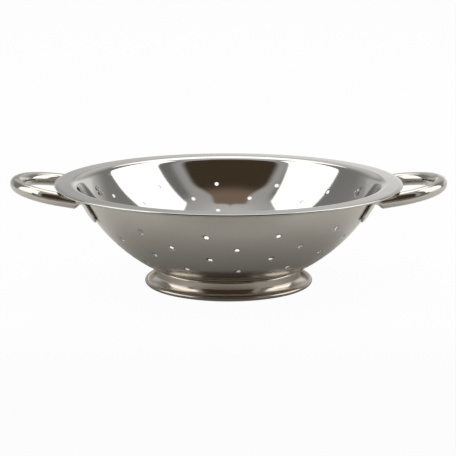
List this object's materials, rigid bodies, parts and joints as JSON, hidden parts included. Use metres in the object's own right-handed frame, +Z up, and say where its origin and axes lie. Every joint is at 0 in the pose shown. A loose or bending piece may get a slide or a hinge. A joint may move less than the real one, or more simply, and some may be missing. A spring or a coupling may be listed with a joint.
{
  "type": "colander",
  "caption": "Footed round steel colander with a flat rim, drain holes in staggered rings and two tube loop handles.",
  "frame": {"origin": "centre of the foot ring's flat bottom, on the table", "axes": "+Z up along the bowl's axis, +X out through the right handle, -Y towards the viewer of the picture"},
  "size_m": [0.3522, 0.28, 0.0872],
  "materials": {
    "satin_steel": "satin stainless steel outside, polished inside",
    "polished_steel": "mirror-polished stainless steel",
    "weld_steel": "dull spot where a weld was pressed"
  },
  "bodies": {
    "root": {"bowl": "satin_steel", "foot_ring": "polished_steel", "left_handle": "polished_steel", "right_handle": "polished_steel", "left_handle_welds": "weld_steel", "right_handle_welds": "weld_steel", "foot_welds": "weld_steel"}
  },
  "joints": []
}
